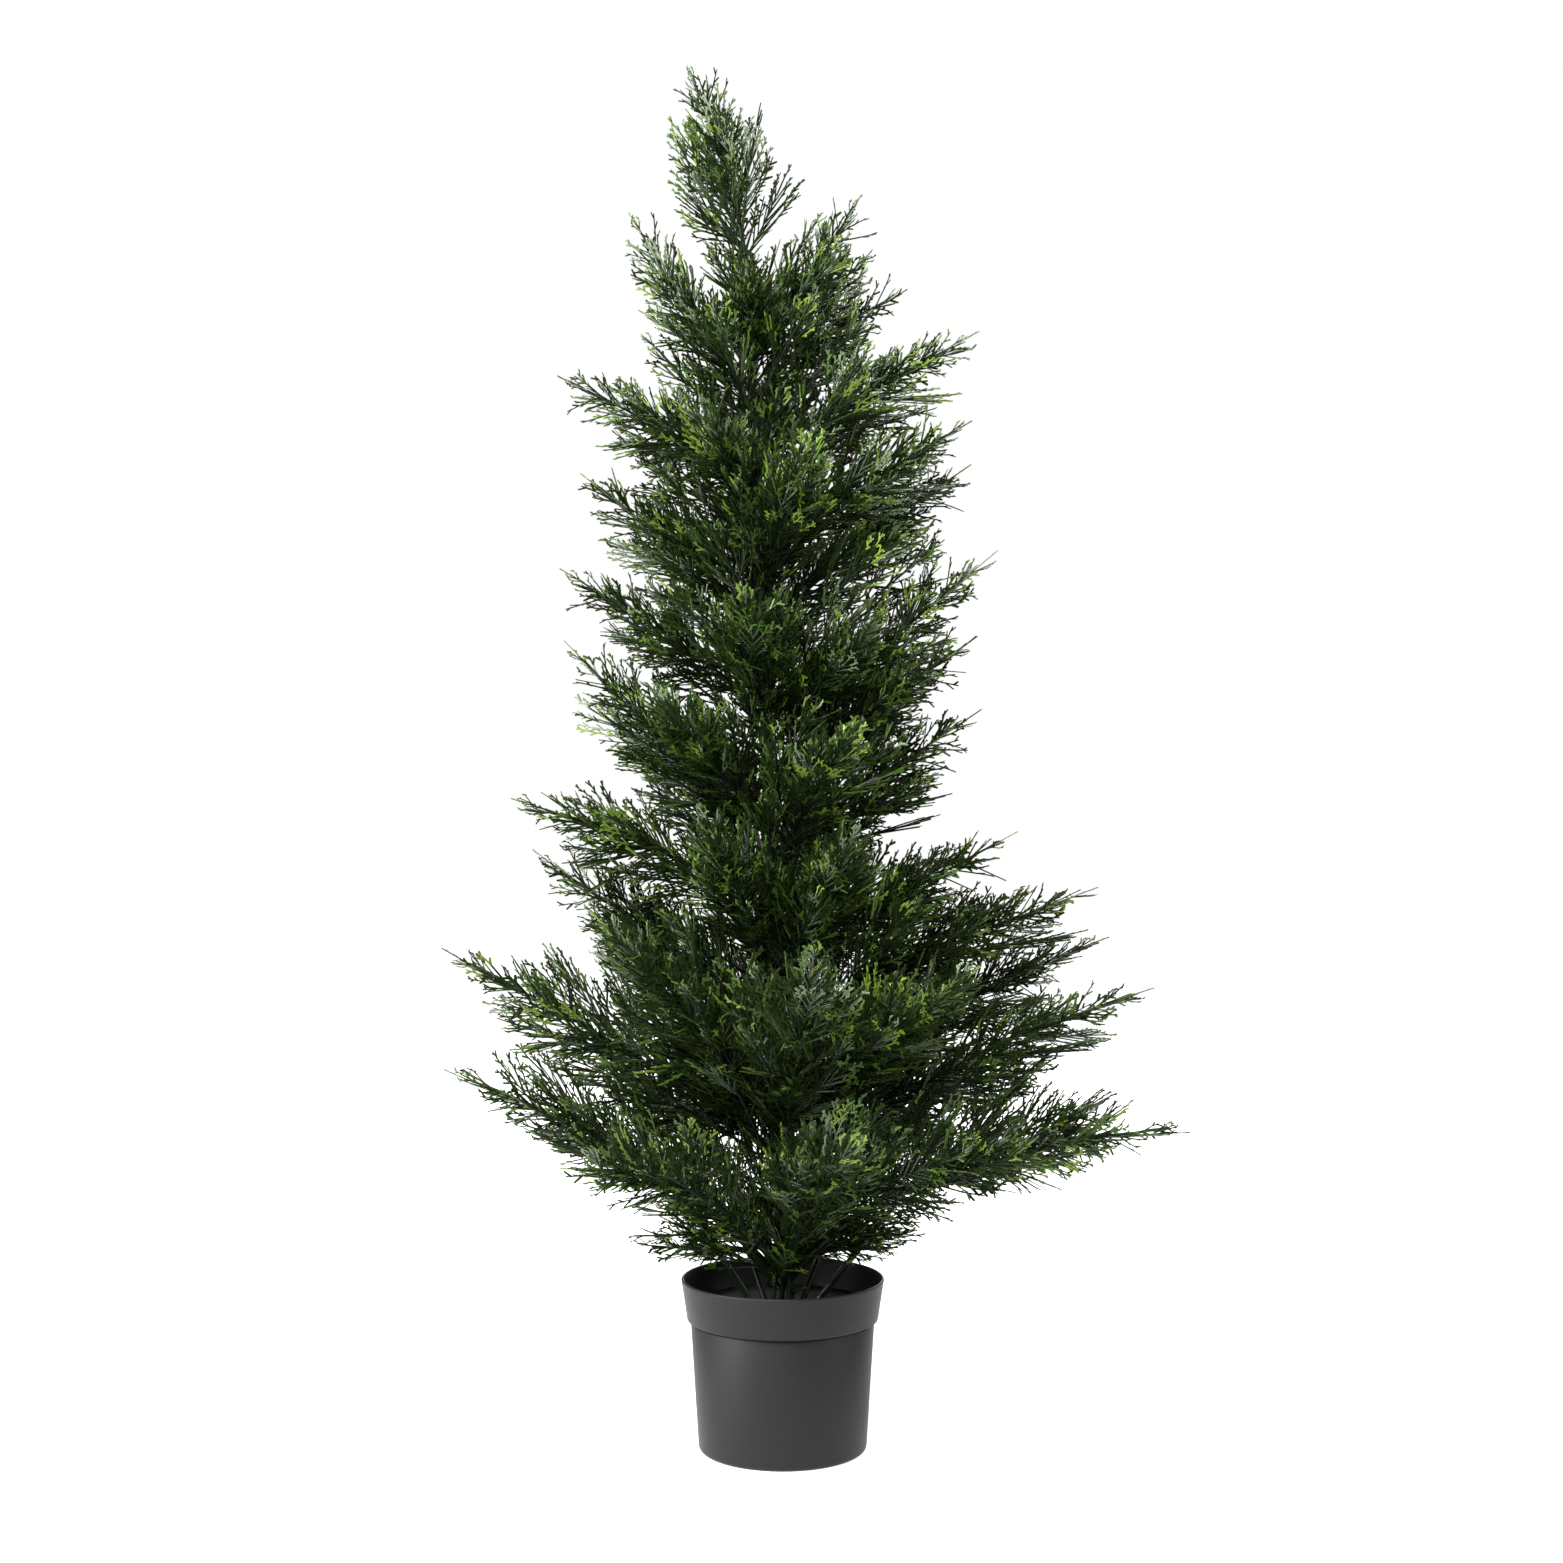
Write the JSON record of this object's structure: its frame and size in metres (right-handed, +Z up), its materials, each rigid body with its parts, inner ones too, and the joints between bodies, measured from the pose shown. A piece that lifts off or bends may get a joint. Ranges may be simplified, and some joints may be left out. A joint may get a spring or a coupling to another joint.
{
  "type": "artificial potted cedar tree",
  "caption": "Artificial cedar in a tapered round plastic pot: feathery plumes of flat evergreen sprays stand in tiers round a thin trunk, under a leader that leans over.",
  "frame": {"origin": "centre of the pot's flat underside", "axes": "+Z up along the trunk, -Y towards the viewer of the picture's side, +X to that viewer's right"},
  "size_m": [0.6967, 0.5966, 1.2963],
  "materials": {
    "pot_plastic": "satin moulded",
    "filling": "matt",
    "stem_plastic": "satin moulded",
    "foliage": "satin moulded"
  },
  "bodies": {
    "root": {"pot": "pot_plastic", "filling": "filling", "trunk": "stem_plastic", "bough_skirt_back_left": "stem_plastic", "bough_skirt_back_right": "stem_plastic", "bough_skirt_front": "stem_plastic", "bough_skirt_front_left": "stem_plastic", "bough_skirt_front_right": "stem_plastic", "bough_skirt_left": "stem_plastic", "bough_skirt_right": "stem_plastic", "plume_high_back": "foliage", "plume_high_front": "foliage", "plume_high_left": "foliage", "plume_high_right": "foliage", "plume_leader": "foliage", "plume_lower_back": "foliage", "plume_lower_back_left": "foliage", "plume_lower_front": "foliage", "plume_lower_front_left": "foliage", "plume_lower_front_right": "foliage", "plume_lower_left": "foliage", "plume_lower_right": "foliage", "plume_lower_right_back": "foliage", "plume_middle_back": "foliage", "plume_middle_front_left": "foliage", "plume_middle_front_right": "foliage", "plume_middle_left": "foliage", "plume_middle_left_back": "foliage", "plume_middle_right": "foliage", "plume_middle_right_front": "foliage", "plume_peak_back": "foliage", "plume_peak_front": "foliage", "plume_peak_left": "foliage", "plume_peak_right": "foliage", "plume_peak_right_front": "foliage", "plume_shoulder_back": "foliage", "plume_shoulder_front_left": "foliage", "plume_shoulder_front_right": "foliage", "plume_shoulder_left": "foliage", "plume_shoulder_right": "foliage", "plume_shoulder_right_front": "foliage", "plume_skirt_back_left": "foliage", "plume_skirt_back_right": "foliage", "plume_skirt_front": "foliage", "plume_skirt_front_left": "foliage", "plume_skirt_front_right": "foliage", "plume_skirt_left": "foliage", "plume_skirt_right": "foliage", "plume_upper_back": "foliage", "plume_upper_front": "foliage", "plume_upper_left": "foliage", "plume_upper_right": "foliage", "plume_upper_right_front": "foliage", "plume_waist_back_left": "foliage", "plume_waist_back_right": "foliage", "plume_waist_front": "foliage", "plume_waist_front_left": "foliage", "plume_waist_left": "foliage", "plume_waist_right": "foliage"}
  },
  "joints": []
}
